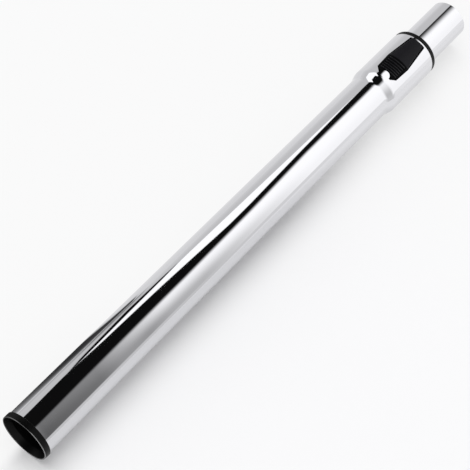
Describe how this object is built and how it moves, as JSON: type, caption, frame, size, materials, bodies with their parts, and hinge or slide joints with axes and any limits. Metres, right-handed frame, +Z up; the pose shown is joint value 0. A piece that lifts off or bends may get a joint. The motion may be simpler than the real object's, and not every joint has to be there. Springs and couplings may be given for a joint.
{
  "type": "telescopic vacuum wand",
  "caption": "Chromed telescopic suction wand: an inner tube slides from a belled outer tube, held at stops by a see-saw thumb button, with a plastic bush in its mouth.",
  "frame": {"origin": "on the floor under the middle of the closed wand, which lies on its bell", "axes": "+X along the wand from the handle mouth to the floor-head end, +Z up through the release button"},
  "size_m": [0.496, 0.0404, 0.0414],
  "materials": {
    "chrome_tube": "polished chrome plate on thin steel tube",
    "black_plastic": "moulded, satin",
    "button_plastic": "moulded, satin, ribbed thumb dish",
    "bright_steel": "ground",
    "seal_rubber": "matt",
    "grey_felt": "pressed felt"
  },
  "bodies": {
    "outer": {"outer_tube": "chrome_tube", "mouth_bush": "black_plastic", "guide_sleeve": "black_plastic", "wiper_seal": "grey_felt", "return_spring": "bright_steel"},
    "button": {"release_button": "button_plastic", "lock_roller": "bright_steel"},
    "inner": {"inner_tube": "chrome_tube", "piston_half_left": "black_plastic", "piston_half_right": "black_plastic", "piston_seal": "seal_rubber"}
  },
  "joints": [
    {"name": "telescope", "type": "slide", "parent": "outer", "child": "inner", "axis": [1, 0, 0], "range_m": [0, 0.3]},
    {"name": "button_press", "type": "hinge", "parent": "outer", "child": "button", "pos_m": [0.167, 0, 0.0356], "axis": [0, -1, 0], "range_deg": [0, 5], "stiffness_Nm_per_rad": 0.4, "springref_deg": -4.58, "deforming": ["return_spring"]}
  ]
}
